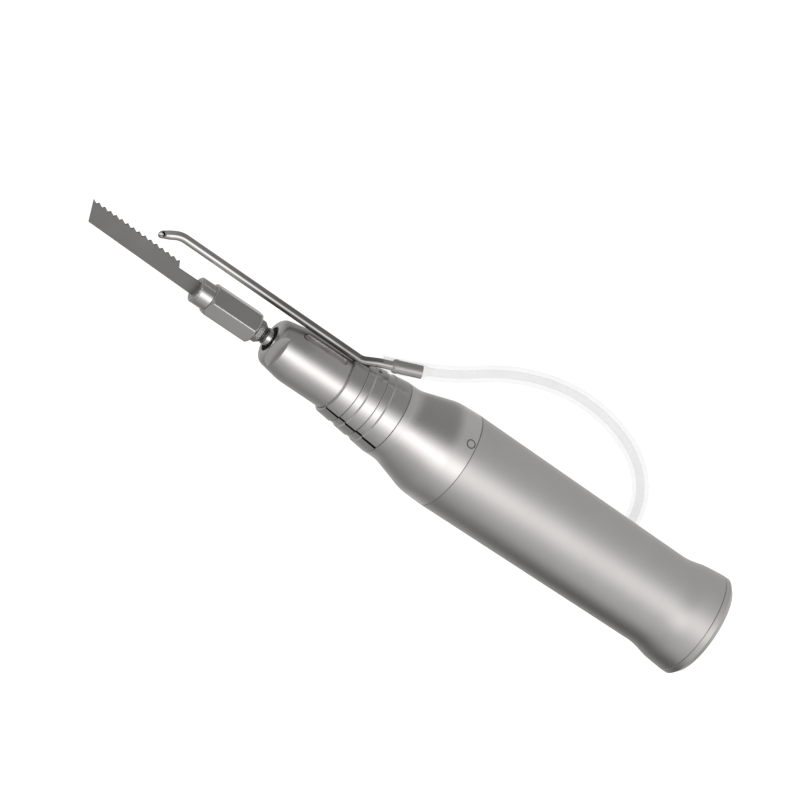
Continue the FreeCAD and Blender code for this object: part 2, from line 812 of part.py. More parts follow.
def make_cam_follower():
    """Pin pressed through the cup's wall; its head runs in the cam's track."""
    head_foot = S.drum_radius - S.follower_depth
    head_top = S.cup_radius - S.cup_wall - S.running_gap * 2
    body = new_body("cam_follower")
    head_sketch = new_sketch(body, "follower_head_outline", "XY_Plane", offset=head_foot)
    draw_circle(head_sketch, S.follower_radius, x=track_middle)
    head = body.newObject("PartDesign::Pad", "follower_head")
    head.Profile = (head_sketch, [""])
    bind(head, "Length", head_top - head_foot)
    body.Tip = head
    shank_sketch = new_sketch(body, "follower_shank_outline", "XY_Plane", offset=head_top)
    draw_circle(shank_sketch, S.follower_shank_radius, x=track_middle)
    shank = body.newObject("PartDesign::Pad", "follower_shank")
    shank.Profile = (shank_sketch, [""])
    bind(shank, "Length", S.cup_radius - S.running_gap - head_top)
    body.Tip = shank


# Blade chuck

def make_chuck_body():
    turned("chuck_body", [
        (rod_front, S.tenon_radius),
        (rod_front, S.chuck_neck_radius),
        (rod_front + S.chuck_neck_length, S.chuck_neck_radius),
        (collar_rear, S.chuck_collar_radius),
        (collar_front, S.chuck_collar_radius),
        (collar_front, S.stud_radius),
        (stud_front, S.stud_radius),
        (stud_front, 0),
        (rod_front + S.tenon_length, 0),
        (rod_front + S.tenon_length, S.tenon_radius),
    ])


def make_chuck_nut():
    body = new_body("chuck_nut")
    sketch = new_sketch(body, "hex_outline", "YZ_Plane", offset=nut_rear)
    corner_radius = S.nut_across_flats / cosine(as_size(30)) / 2
    corners = []
    for step in range(6):
        angle = S.nut_turn + step * 60
        corners.append((corner_radius * cosine(angle), corner_radius * sine(angle)))
    draw_outline(sketch, corners)
    pad = body.newObject("PartDesign::Pad", "hex")
    pad.Profile = (sketch, [""])
    bind(pad, "Length", S.nut_hex_length)
    body.Tip = pad
    doc.recompute()
    slant = S.nut_chamfer * 2
    outside = corner_radius + S.side_gap
    edge = corner_radius - S.nut_chamfer
    for name, face, inward in (("rear_chamfer", nut_rear, slant), ("front_chamfer", hex_front, -slant)):
        revolve(body, name, [
            (face, edge),
            (face + inward, outside),
            (face, outside),
        ], kind="PartDesign::Groove")
    revolve(body, "collar", [
        (hex_front, 0),
        (hex_front, S.nut_collar_radius),
        (nut_front, S.nut_collar_radius, S.nut_lip_round),
        (nut_front, 0),
    ])
    revolve(body, "nut_bore", [
        (nut_rear, 0),
        (nut_rear, S.stud_radius + S.running_gap),
        (stud_front, S.stud_radius + S.running_gap),
        (stud_front, S.collet_radius + S.running_gap),
        (nut_front, S.collet_radius + S.running_gap),
        (nut_front, 0),
    ], kind="PartDesign::Groove")


def make_collet():
    body = turned("blade_collet", [
        (stud_front, 0),
        (stud_front, S.collet_radius),
        (nut_front, S.collet_radius),
        (nut_front, 0),
    ])
    slot = new_sketch(body, "blade_slot", "YZ_Plane", offset=blade_rear - S.side_gap)
    half = S.blade_thickness / 2 + S.seat_gap
    draw_outline(slot, rectangle(-half, half, -(S.shank_bottom + S.seat_gap), S.shank_top + S.seat_gap))
    cut(body, slot, S.shank_grip + S.side_gap * 2)


# Saw blade

def make_blade():
    """Flat blade: parallel shank, a step up, and a toothed edge that rises towards the tip."""
    step_rear = nut_front + S.shank_reach
    toothed_rear = step_rear + S.shank_step
    edge_length = blade_tip - toothed_rear
    rise = S.tooth_line_front - S.tooth_line_rear
    pitch = edge_length / S.tooth_count
    corners = [
        (blade_rear, -S.shank_bottom),
        (nut_front, -S.shank_bottom),
        (blade_tip - S.tip_slant, -S.blade_back_front),
        (blade_tip, S.tooth_line_front),
    ]
    count = int(S.tooth_count.value)
    for number in range(count):
        along = pitch * (count - number)
        height = S.tooth_line_rear + rise * along / edge_length
        root = along - pitch + pitch * S.tooth_steep
        corners.append((toothed_rear + root, height - S.tooth_height))
        corners.append((toothed_rear + (along - pitch), height - rise / count))
    corners += [
        (step_rear, S.shank_top),
        (blade_rear, S.shank_top),
    ]
    body = new_body("saw_blade")
    sketch = new_sketch(body, "blade_outline", "XZ_Plane", offset=-(S.blade_thickness / 2))
    draw_outline(sketch, corners)
    pad = body.newObject("PartDesign::Pad", "blade")
    pad.Profile = (sketch, [""])
    bind(pad, "Length", S.blade_thickness)
    body.Tip = pad


# Irrigation

tube_bend_x = seat_rear + S.tube_bend_place
tube_front_x = seat_rear + S.tube_front_reach
tube_height = S.head_radius + S.tube_radius + S.tube_gap
front_height = tube_height + S.tube_rise
barb_root = (tube_bend_x - S.tube_rear_run, tube_height + S.tube_rear_rise)


def barb_point(distance):
    """Point on the connector's axis, rearward and up from where the tube meets it."""
    return (barb_root[0] - distance * cosine(S.barb_angle), barb_root[1] + distance * sine(S.barb_angle))


def tip_point(distance):
    """Point on the drooping tip's axis, forward and down from the front bend."""
    return (tube_front_x + distance * cosine(S.tube_tip_angle), front_height - distance * sine(S.tube_tip_angle))


def tube_path(body, name):
    sketch = new_sketch(body, name, "XZ_Plane")
    draw_outline(sketch, [
        tip_point(S.tube_tip_run),
        (tube_front_x, front_height, S.tube_front_round),
        (tube_bend_x, tube_height, S.tube_rear_round),
        (barb_root[0], barb_root[1], S.tube_rear_round),
        barb_point(S.barb_length),
    ], closed=False)
    return sketch


def pipe(body, path, name, radius, kind):
    """Sweeps a circle, square to the path's free end, along the whole path."""
    ring = body.newObject("Sketcher::SketchObject", f"{name}_ring")
    first = 1 + [type(item).__name__ for item in path.Geometry].index("LineSegment")
    ring.AttachmentSupport = (path, [f"Edge{first}"])
    ring.MapMode = "NormalToEdge"
    draw_circle(ring, radius)
    feature = body.newObject(kind, name)
    feature.Profile = (ring, [""])
    feature.Spine = (path, [])
    body.Tip = feature
    return feature


def make_clip():
    """Split ring with two shallow rib grooves and a channel that the tube is brazed into."""
    slope = (S.clip_rear_radius - S.clip_front_radius) / S.clip_length

    def cone(place):
        return S.clip_rear_radius - slope * place

    inner = S.head_radius + S.running_gap
    corners = [
        (seat_rear, inner),
        (seat_rear, S.clip_rear_radius - S.edge_break),
        (seat_rear + S.edge_break, cone(S.edge_break)),
    ]
    for number in range(2):
        low = S.rib_groove_first + S.rib_groove_pitch * number
        high = low + S.rib_groove_width
        depth = S.rib_groove_depth
        corners += [
            (seat_rear + low, cone(low)),
            (seat_rear + low + depth, cone(low + depth) - depth),
            (seat_rear + high - depth, cone(high - depth) - depth),
            (seat_rear + high, cone(high)),
        ]
    corners += [
        (clip_front, S.clip_front_radius, S.clip_edge_round),
        (clip_front, inner),
    ]
    body = turned("irrigation_clip", corners)
    slit = new_sketch(body, "clip_slit", "XY_Plane", turn=-S.slit_turn)
    draw_outline(slit, rectangle(seat_rear - S.side_gap, clip_front + S.side_gap,
                                 -(S.slit_width / 2), S.slit_width / 2))
    cut(body, slit, S.clip_rear_radius + S.side_gap)
    doc.recompute()
    path = tube_path(body, "channel_path")
    doc.recompute()
    pipe(body, path, "tube_channel", S.tube_radius, "PartDesign::SubtractivePipe")


def tip_cone(body, name, rear_radius, front_radius, kind):
    """A cone along the drooping tip, from the end of the swept tube to the outlet."""
    cone = body.newObject(kind, name)
    bind(cone, "Radius1", rear_radius)
    bind(cone, "Radius2", front_radius)
    bind(cone, "Height", S.tip_cone_length)
    foot = tip_point(S.tube_tip_run)
    turn = S.tube_tip_angle + 90
    cone.Placement = Placement(Vector(0, 0, 0), Rotation(Vector(0, 1, 0), turn.value))
    cone.setExpression(".Placement.Base.x", foot[0].text)
    cone.setExpression(".Placement.Base.z", foot[1].text)
    cone.setExpression(".Placement.Rotation.Angle", turn.text)
    body.Tip = cone
    return cone


def make_nozzle_tube():
    body = new_body("nozzle_tube")
    path = tube_path(body, "tube_path")
    doc.recompute()
    pipe(body, path, "tube_wall", S.tube_radius, "PartDesign::AdditivePipe")
    tip_cone(body, "tip_wall", S.tube_radius, S.tip_radius, "PartDesign::AdditiveCone")
    doc.recompute()
    pipe(body, path, "tube_lumen", S.tube_lumen_radius, "PartDesign::SubtractivePipe")
    tip_cone(body, "tip_lumen", S.tube_lumen_radius, S.tip_lumen_radius, "PartDesign::SubtractiveCone")
    doc.recompute()
    outlet = tip_point(S.tube_tip_run + S.tip_cone_length)[0]
    far = outlet - S.tip_slant_set_back
    slant = new_sketch(body, "outlet_slant", "XY_Plane")
    draw_outline(slant, [
        (far - S.tip_slant_length, S.tube_radius),
        (far, -S.tube_radius),
        (outlet + S.tube_radius, -S.tube_radius),
        (outlet + S.tube_radius, S.tube_radius),
    ])
    cut(body, slant, front_height)


def make_hose_barb():
    """Stepped sleeve on the tube's rear end, hidden in the hose."""
    lip = S.barb_lip - S.barb_radius
    body = turned("hose_barb", [
        (0, S.tube_radius),
        (0, S.barb_radius - lip),
        (S.barb_lip_length / 2, S.barb_lip),
        (S.barb_lip_length, S.barb_lip),
        (S.barb_lip_length, S.barb_radius),
        (S.barb_length - S.barb_offset, S.barb_radius),
        (S.barb_length - S.barb_offset, S.tube_radius),
    ])
    foot = barb_point(S.barb_offset)
    turn = S.barb_angle + 180
    body.Placement = Placement(Vector(0, 0, 0), Rotation(Vector(0, 1, 0), turn.value))
    body.setExpression(".Placement.Base.x", foot[0].text)
    body.setExpression(".Placement.Base.z", foot[1].text)
    body.setExpression(".Placement.Rotation.Angle", turn.text)


def hose_pieces(points, inner, outer):
    """Ring sections carried along straight runs and round tangent arcs as large as the runs allow."""
    pieces, radii = [], []
    length = 0
    start = points[0]

    def section(place, way):
        disc = Part.Face(Part.Wire(Part.makeCircle(outer, place, way)))
        return disc.cut(Part.Face(Part.Wire(Part.makeCircle(inner, place, way))))

    for before, corner, after in zip(points, points[1:], points[2:]):
        arriving = (corner - before).normalize()
        leaving = (after - corner).normalize()
        turn = arriving.getAngle(leaving)
        reach = ARC_SHARE * min((corner - before).Length, (after - corner).Length)
        radius = reach / math.tan(turn / 2)
        enter = corner - arriving * reach
        axis = arriving.cross(leaving).normalize()
        centre = enter + axis.cross(arriving) * radius
        ring = section(enter, arriving)
        pieces.append(section(start, arriving).extrude(enter - start))
        pieces.append(ring.revolve(centre, axis, math.degrees(turn)))
        length += (enter - start).Length + radius * turn
        radii.append(round(radius, 1))
        start = corner + leaving * reach
    pieces.append(section(start, leaving).extrude(points[-1] - start))
    length += (points[-1] - start).Length
    print("hose radii", radii)
    return pieces, length


def make_hose():
    mouth = barb_point(S.hose_offset)
    start = Vector(mouth[0].value, 0, mouth[1].value)
    rear = barb_point(S.barb_length)
    axis = (Vector(rear[0].value, 0, rear[1].value) - start).normalize()
    inner, outer = S.hose_lumen_radius.value, S.hose_radius.value
    pieces, length = hose_pieces([start] + [Vector(*point) for point in HOSE_ROUTE], inner, outer)
    hose = pieces[0].multiFuse(pieces[1:]).removeSplitter()
    area = math.pi * (outer ** 2 - inner ** 2)
    print("hose length", round(length, 2), "volume over section times length",
          round(hose.Volume / (area * length), 4))
    margin = S.side_gap.value
    foot = start - axis * margin
    socket_length = (S.barb_length - S.hose_offset).value + margin
    lip_reach = (S.barb_offset + S.barb_lip_length - S.hose_offset).value + margin
    socket = Part.makeCylinder(S.barb_radius.value, socket_length, foot, axis)
    lip = Part.makeCylinder(S.barb_lip.value, lip_reach, foot, axis)
    part_feature("silicone_hose", hose.cut(socket).cut(lip))


make_end_ring()
make_rear_sleeve()
make_chassis_tube()
make_nose_housing()
make_guide_pin()
make_bearing("drive", drive_bearing_rear, S.drive_bearing_width, S.drive_shaft_radius,
             S.drive_bearing_radius, S.drive_roller_radius, S.drive_roller_count)
make_bearing("cam", cam_bearing_rear, S.cam_bearing_width, S.hub_radius,
             S.tube_bore_radius - S.seat_gap, S.cam_roller_radius, S.cam_roller_count)
turned("gear_spacer", [
    (partition_front, S.drive_bearing_radius - S.spacer_wall),
    (partition_front, S.tube_bore_radius - S.seat_gap),
    (ring_gear_rear, S.tube_bore_radius - S.seat_gap),
    (ring_gear_rear, spacer_inner),
    (partition_front + S.spacer_wall, spacer_inner),
    (partition_front + S.spacer_wall, S.drive_bearing_radius - S.spacer_wall),
])
tube("bearing_shim", ring_gear_front, cam_bearing_rear, spacer_inner, S.tube_bore_radius - S.seat_gap)
tube("bearing_spacer", cam_bearing_front, spigot_rear, spacer_inner, S.tube_bore_radius - S.seat_gap)
make_gears()
make_carrier()
make_drive_shaft()
make_cam_shaft()
make_plunger()
make_cam_follower()
bush_front = head_front - S.bush_set_back
tube("front_bush", bush_front - S.front_bush_length, bush_front, rod_bore, S.mouth_radius)
tube("shaft_seal", bush_front, bush_front + S.seal_length, rod_bore, S.mouth_radius)
make_chuck_body()
make_chuck_nut()
make_collet()
make_blade()
make_clip()
make_nozzle_tube()
make_hose_barb()
make_hose()
doc.recompute()

faults = [f"{item.Label}: {item.State}" for item in doc.Objects
          if "Invalid" in item.State or "Error" in item.State]
parts = [item for item in doc.Objects
         if item.TypeId == "PartDesign::Body"
         or item.TypeId.startswith("Part::") and not item.InList]
for item in parts:
    if item.Shape.isNull() or not item.Shape.isValid() or not item.Shape.Solids:
        faults.append(f"{item.Label}: no valid solid")
if faults:
    raise RuntimeError("; ".join(faults))

os.makedirs("parts", exist_ok=True)
for item in parts:
    item.Shape.exportStep(f"parts/{item.Label}.step")
print(len(parts), "parts")
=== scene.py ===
"""Looks of a straight surgical saw handpiece with a clipped-on irrigation nozzle and its silicone hose.

Everything is in metres in the frame's own axes: +X runs along the handpiece to the blade, +Z is the side
of the nozzle, and the origin is at the rear coupling.
"""

import math

import bpy
from mathutils import Matrix, Vector


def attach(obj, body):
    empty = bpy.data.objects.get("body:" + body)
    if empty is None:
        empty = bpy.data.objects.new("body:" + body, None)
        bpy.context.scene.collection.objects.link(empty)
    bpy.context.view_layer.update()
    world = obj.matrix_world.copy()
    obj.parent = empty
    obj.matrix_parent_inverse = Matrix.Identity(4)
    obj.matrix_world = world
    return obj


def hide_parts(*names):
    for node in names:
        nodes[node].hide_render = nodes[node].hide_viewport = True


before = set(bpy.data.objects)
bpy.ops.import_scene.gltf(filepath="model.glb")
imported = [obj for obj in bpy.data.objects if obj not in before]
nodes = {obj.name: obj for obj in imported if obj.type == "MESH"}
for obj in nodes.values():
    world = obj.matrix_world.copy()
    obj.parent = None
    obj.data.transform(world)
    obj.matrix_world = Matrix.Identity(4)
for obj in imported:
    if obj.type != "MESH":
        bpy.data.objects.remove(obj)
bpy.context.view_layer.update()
scene = bpy.context.scene

MM = 0.001
BLACK = (0.0, 0.0, 0.0, 1.0)

# A colour ramp holds nothing brighter than 1, so the curves of light are kept as shares of this.
PEAK = 2.5


class Shader:
    """A node tree that is built by short calls; an input takes a value or another node's output.

    metal says how metallic a steel is, and the details of a piece may change it."""

    def __init__(self, owner):
        owner.use_nodes = True
        self.tree = owner.node_tree
        self.nodes = self.tree.nodes
        self.metal = 1.0

    def add(self, kind, settings=(), **inputs):
        node = self.nodes.new(kind)
        for name, value in dict(settings).items():
            setattr(node, name, value)
        for name, value in inputs.items():
            self.wire(node, name.replace("_", " "), value)
        return node

    def wire(self, node, name, value):
        socket = node.inputs[int(name)] if name.isdigit() else node.inputs[name]
        if isinstance(value, bpy.types.NodeSocket):
            self.tree.links.new(value, socket)
        else:
            socket.default_value = value

    def maths(self, operation, first, second=0.0):
        node = self.add("ShaderNodeMath", {"operation": operation})
        self.wire(node, "0", first)
        self.wire(node, "1", second)
        return node.outputs[0]

    def times(self, first, second):
        return self.maths("MULTIPLY", first, second)

    def plus(self, first, second):
        return self.maths("ADD", first, second)

    def vector_maths(self, operation, first, second):
        node = self.add("ShaderNodeVectorMath", {"operation": operation})
        self.wire(node, "0", first)
        self.wire(node, "1", second)
        return node.outputs

    def place(self, stretch=(1, 1, 1)):
        """Object coordinates, in metres, multiplied by stretch along each axis."""
        here = self.add("ShaderNodeTexCoord").outputs["Object"]
        return self.vector_maths("MULTIPLY", here, stretch)[0]

    def split(self, vector):
        """The X, Y and Z parts of a vector."""
        return self.add("ShaderNodeSeparateXYZ", Vector=vector).outputs

    def along(self, vector, way):
        """How far a vector reaches along a fixed direction."""
        return self.vector_maths("DOT_PRODUCT", vector, way)["Value"]

    def turn(self, y, z, unit=math.degrees(1)):
        """The angle round the X axis, from +Y up towards +Z, with unit for each radian."""
        return self.times(self.maths("ARCTAN2", z, y), unit)

    def spread(self, value, low, high, start=0.3, end=0.7):
        """A value from start to end, carried over to low to high."""
        node = self.add("ShaderNodeMapRange", Value=value, From_Min=start, From_Max=end,
                        To_Min=low, To_Max=high)
        return node.outputs["Result"]

    def rise(self, value, start, end):
        """0 up to start, growing to 1 at end."""
        return self.spread(value, 0.0, 1.0, start, end)

    def fall(self, value, start, end):
        """1 up to start, shrinking to 0 at end."""
        return self.spread(value, 1.0, 0.0, start, end)

    def between(self, value, low, high, soft):
        """1 where a value lies between low and high, falling to 0 over soft on either side."""
        return self.times(self.rise(value, low - soft, low), self.fall(value, high, high + soft))

    def ramp(self, value, stops):
        """A smooth grey curve through (value, brightness) stops, as a share of PEAK."""
        low, high = stops[0][0], stops[-1][0]
        node = self.add("ShaderNodeValToRGB", Fac=self.rise(value, low, high))
        node.color_ramp.interpolation = "B_SPLINE"
        elements = node.color_ramp.elements
        while len(elements) < len(stops):
            elements.new(0.5)
        for element, (place, brightness) in zip(elements, stops):
            element.position = (place - low) / (high - low)
            element.color = grey(brightness / PEAK)
        return node.outputs["Color"]

    def noise(self, size, stretch=(1, 1, 1), detail=3.0):
        """Soft noise from 0 to 1 whose lumps are about size metres across."""
        return self.add("ShaderNodeTexNoise", Vector=self.place(stretch), Scale=1 / size,
                        Detail=detail).outputs["Fac"]

    def blend(self, share, first, second):
        """A colour from first to second; the node keeps its colours in sockets 6 and 7."""
        node = self.add("ShaderNodeMix", {"data_type": "RGBA"})
        self.wire(node, "0", share)
        self.wire(node, "6", first)
        self.wire(node, "7", second)
        return node.outputs[2]

    def bump(self, height, depth=1.0, normal=None):
        """The normal of a surface that is raised by height times depth."""
        node = self.add("ShaderNodeBump", Height=height, Distance=depth)
        if normal is not None:
            self.wire(node, "Normal", normal)
        return node.outputs["Normal"]


def new_material(name):
    material = bpy.data.materials.new(name)
    shader = Shader(material)
    return material, shader, shader.nodes["Principled BSDF"]


def grey(value, warmth=0.0):
    """A linear colour of that brightness, a little warmer than neutral if asked."""
    return (value * (1 + warmth), value, value * (1 - warmth), 1.0)


def add_object(name, data):
    thing = bpy.data.objects.new(name, data)
    scene.collection.objects.link(thing)
    return thing


def standing(right, up, back, place):
    """The matrix of an object with those axes at that place."""
    return Matrix([(right[row], up[row], back[row], place[row]) for row in range(3)] + [(0, 0, 0, 1)])


# Materials

CLOUD_SIZE = 6 * MM
CLOUD_SHARE, FINE_SHARE = 0.6, 0.4
NOOK_START = 0.05
SIDE_RAYS = 8


def steel(name, light, rough, warmth=0.012, grain=0.4 * MM, stretch=(1, 1, 1), depth=0.002 * MM,
          bevel=0.0, nook=0.0, nook_range=(0.3, 0.8), details=None):
    """Steel of one finish: light and rough are (low, high) over cloudy patches, grain is the fine texture.

    bevel softens the edges over that radius, and nook paints shade into corners closed in within that
    distance.
    details adds what only one piece has: it takes the shader with its colour, roughness and height, and
    gives them back changed."""
    material, shader, surface = new_material(name)
    clouds = shader.noise(CLOUD_SIZE)
    fine = shader.noise(grain, stretch, detail=2.0)
    share = shader.plus(shader.times(clouds, CLOUD_SHARE), shader.times(fine, FINE_SHARE))
    colour = shader.blend(shader.spread(share, 0.0, 1.0), grey(light[0], warmth), grey(light[1], warmth))
    roughness = shader.spread(fine, *rough)
    height = shader.times(fine, depth)
    if details:
        colour, roughness, height = details(shader, colour, roughness, height)
    # Painted shade: the colour darkens towards black where ambient occlusion finds the surface closed in.
    if nook:
        closed = shader.add("ShaderNodeAmbientOcclusion", {"samples": SIDE_RAYS}, Distance=nook).outputs["AO"]
        colour = shader.blend(shader.spread(closed, NOOK_START, 1.0, *nook_range), BLACK, colour)
    edge = None
    if bevel:
        edge = shader.add("ShaderNodeBevel", {"samples": SIDE_RAYS}, Radius=bevel).outputs["Normal"]
    shader.wire(surface, "Metallic", shader.metal)
    shader.wire(surface, "Base Color", colour)
    shader.wire(surface, "Roughness", roughness)
    shader.wire(surface, "Normal", shader.bump(height, normal=edge))
    return material


# How gradually a mark ends
SHARP, CRISP, SOFT = 0.02 * MM, 0.03 * MM, 0.05 * MM

# Grip sleeve and ring mark
SEAM = 60.8 * MM
SEAM_FADE = 0.1 * MM
SLEEVE_SHADE, SLEEVE_ROUGHER = 0.14, 0.08
MARK_TURN = math.radians(48.8)
MARK_REACH = 10.16 * MM
MARK_PLACE = (62.0 * MM, MARK_REACH * math.cos(MARK_TURN), MARK_REACH * math.sin(MARK_TURN))
MARK_RADIUS = 0.83 * MM
MARK_LINE = 0.1 * MM
MARK_GREY = 0.16

# Head: its crest, recess and wrench flats
CREST_HEIGHT = (4.5 * MM, 5.5 * MM)
CREST_START = (88 * MM, 90 * MM)
CREST_ROUGHER = 0.12
RECESS_TURN = math.radians(19)
RECESS_WAY = (0, math.sin(RECESS_TURN), math.cos(RECESS_TURN))
RECESS_SIDE = (0, math.cos(RECESS_TURN), -math.sin(RECESS_TURN))
RECESS_FLOOR = 5.43 * MM
RECESS_HALF = 0.75 * MM
RECESS_REAR, RECESS_FRONT = 89.9 * MM, 99.9 * MM
RECESS_ROUGHER = 0.2
RECESS_TINTS = ((0.5, 0.475, 0.465, 1), (0.8, 0.76, 0.745, 1))
# Width and grey of the painted shadow line along the recess's lower and front edge
RECESS_SHADE_LINE = 0.14 * MM
RECESS_SHADE_GREY = 0.06
RECESS_WALL = (RECESS_FLOOR - 0.4 * MM, RECESS_FLOOR + 0.08 * MM)
LINE_FAINT = 0.3
LINE_SIDE = (0.0, 0.1 * MM)
LINE_GROWS = (RECESS_REAR + 2 * MM, RECESS_REAR + 2.5 * MM)
LINE_ROUND = (RECESS_FRONT - RECESS_HALF, RECESS_FRONT - 0.6 * RECESS_HALF)
SCRATCH_SIZE = 0.35 * MM
SCRATCHED = (0.15, 1, 1)
HEAD_FRONT = 104.1 * MM
FLAT_PLACE = 3.5 * MM
FLAT_REAR = (HEAD_FRONT - 2.2 * MM, HEAD_FRONT - 2.1 * MM)
FLAT_LIGHT, FLAT_WARMTH = 0.46, 0.01

# Clip, with angles in degrees: painted shade in the slit and on edges, painted highlights on the grooves'
# rear edges
SLIT_TURN, SLIT_REACH, SLIT_FADE = -30.0, 2.3, 0.1
GROOVE_FRONTS = (81.2 * MM, 85.4 * MM)
GROOVE_WIDTH = 1.8 * MM
# Widths and greys of the painted shade lines and the painted highlight lines
CLIP_SHADE_LINE, CLIP_HIGHLIGHT_LINE = 0.1 * MM, 0.12 * MM
CLIP_REAR_LINE = (76.05 * MM, 76.08 * MM)
CLIP_SHADE_GREY, CLIP_HIGHLIGHT_GREY = 0.05, 0.4
HIGHLIGHT_DULLER, SHADE_ROUGHER = 0.8, 0.3

# Tube: painted shade towards the clip, at the joint and on the underside
TUBE_SHADE_SPAN, TUBE_SHADE = (105 * MM, 122 * MM), 0.4
JOINT, JOINT_FADE, JOINT_SHADE = (87 * MM, 92 * MM), 3 * MM, 0.25
UNDERSIDE_SPAN, UNDERSIDE_FADE, UNDERSIDE_SHADE = (92 * MM, 110 * MM), 8 * MM, 0.7
UNDERSIDE_BELOW, UNDERSIDE_BESIDE = (-0.1, 0.15), (0.35, 0.45)

# Nut's rim and dark collar
RIM_REAR = 121.5 * MM
RIM_FADE = 0.1 * MM
DENT_SIZE, DENT_DEPTH = 0.45 * MM, 0.25 * MM
COLLAR_RADIUS = 2.3 * MM
CUT_PITCH, CUT_DEPTH = 0.45 * MM, 0.02 * MM


def ring_mark(shader, here, colour):
    """The thin circle on the casing in front of the seam."""
    distance = shader.vector_maths("DISTANCE", here, MARK_PLACE)["Value"]
    ring = shader.between(distance, MARK_RADIUS - MARK_LINE, MARK_RADIUS + MARK_LINE, CRISP)
    return shader.blend(ring, colour, grey(MARK_GREY))


def head_recess(shader, here, colour, roughness):
    """The recess's scratched floor, and a painted shadow line along its lower and front edge."""
    x = shader.split(here)["X"]
    side = shader.along(here, RECESS_SIDE)
    level = shader.along(here, RECESS_WAY)
    past = shader.maths("ABSOLUTE", shader.maths("SUBTRACT", x, (RECESS_REAR + RECESS_FRONT) / 2))
    past = shader.maths("SUBTRACT", past, (RECESS_FRONT - RECESS_REAR) / 2 - RECESS_HALF)
    past = shader.maths("MAXIMUM", past, 0.0)
    out = shader.maths("SQRT", shader.plus(shader.times(past, past), shader.times(side, side)))
    recess = shader.times(shader.fall(out, RECESS_HALF - SOFT, RECESS_HALF),
                          shader.between(level, RECESS_FLOOR - SOFT, RECESS_FLOOR + CRISP, SHARP))
    scratches = shader.noise(SCRATCH_SIZE, SCRATCHED, detail=2.0)
    ground = shader.blend(shader.spread(scratches, 0.0, 1.0), *RECESS_TINTS)
    colour = shader.blend(recess, colour, ground)
    roughness = shader.plus(roughness, shader.times(recess, RECESS_ROUGHER))
    # Painted shadow: a dark line where the lower wall and front end shade the recess floor, fainter towards
    # the rear.
    line = shader.times(shader.between(out, RECESS_HALF - RECESS_SHADE_LINE, RECESS_HALF + SHARP, CRISP),
                        shader.between(level, *RECESS_WALL, SHARP))
    lower = shader.maths("MAXIMUM", shader.rise(side, *LINE_SIDE), shader.rise(x, *LINE_ROUND))
    lower = shader.times(lower, shader.spread(x, LINE_FAINT, 1.0, *LINE_GROWS))
    colour = shader.blend(shader.times(line, lower), colour, grey(RECESS_SHADE_GREY))
    return colour, roughness


def casing_details(shader, colour, roughness, height):
    """Matt blasting behind the seam, the ring mark in front of it, and the head's recess and flats."""
    here = shader.place()
    x, y, z = shader.split(here)
    sleeve = shader.fall(x, SEAM, SEAM + SEAM_FADE)
    crest = shader.times(shader.rise(z, *CREST_HEIGHT), shader.rise(x, *CREST_START))
    roughness = shader.plus(roughness, shader.times(crest, CREST_ROUGHER))
    roughness = shader.plus(roughness, shader.times(sleeve, SLEEVE_ROUGHER))
    colour = shader.blend(shader.times(sleeve, SLEEVE_SHADE), colour, BLACK)
    colour = ring_mark(shader, here, colour)
    colour, roughness = head_recess(shader, here, colour, roughness)
    flat = shader.between(y, FLAT_PLACE - SHARP, FLAT_PLACE + SHARP, CRISP - SHARP)
    flat = shader.times(flat, shader.rise(x, *FLAT_REAR))
    colour = shader.blend(flat, colour, grey(FLAT_LIGHT, FLAT_WARMTH))
    return colour, roughness, height


def clip_details(shader, colour, roughness, height):
    """Painted shade in the slit, at the rear end and along the grooves' front edges; painted highlights on
    the grooves' rear edges.
    """
    x, y, z = shader.split(shader.place())
    slit = (SLIT_TURN - SLIT_REACH, SLIT_TURN + SLIT_REACH)
    painted_shade = shader.between(shader.turn(y, z), *slit, SLIT_FADE)
    painted_highlight = 0.0
    for edge in GROOVE_FRONTS:
        painted_shade = shader.maths("MAXIMUM", painted_shade, shader.between(x, edge - CLIP_SHADE_LINE, edge, SOFT))
        rear = edge - GROOVE_WIDTH
        painted_highlight = shader.maths("MAXIMUM", painted_highlight, shader.between(x, rear - SHARP, rear + CLIP_HIGHLIGHT_LINE, SOFT))
    painted_shade = shader.maths("MAXIMUM", painted_shade, shader.fall(x, *CLIP_REAR_LINE))
    # Painted shade darkens the slit, the grooves' front edges and the rear end; painted highlights, made less
    # metallic, pale the grooves' rear edges.
    colour = shader.blend(painted_shade, colour, grey(CLIP_SHADE_GREY))
    colour = shader.blend(painted_highlight, colour, grey(CLIP_HIGHLIGHT_GREY))
    shader.metal = shader.maths("SUBTRACT", 1.0, shader.times(painted_highlight, HIGHLIGHT_DULLER))
    roughness = shader.plus(roughness, shader.times(painted_shade, SHADE_ROUGHER))
    return colour, roughness, height


def tube_details(shader, colour, roughness, height):
    """Painted shade that grows from the nozzle's free part towards the brazed joint, and painted shade on the
    underside next to the head.
    """
    x = shader.split(shader.place())["X"]
    facing = shader.split(shader.add("ShaderNodeNewGeometry").outputs["Normal"])
    # Painted shade: the tube darkens towards the clip, and darker still at the brazed joint.
    colour = shader.blend(shader.rise(x, *TUBE_SHADE_SPAN), shader.blend(TUBE_SHADE, colour, BLACK), colour)
    joint = shader.between(x, *JOINT, JOINT_FADE)
    colour = shader.blend(shader.times(joint, JOINT_SHADE), colour, BLACK)
    # Painted shade on the tube's lower side, which faces the head.
    under = shader.times(shader.fall(facing["Z"], *UNDERSIDE_BELOW), shader.rise(facing["Y"], *UNDERSIDE_BESIDE))
    under_shade = shader.times(shader.between(x, *UNDERSIDE_SPAN, UNDERSIDE_FADE), under)
    colour = shader.blend(shader.times(under_shade, UNDERSIDE_SHADE), colour, BLACK)
    return colour, roughness, height


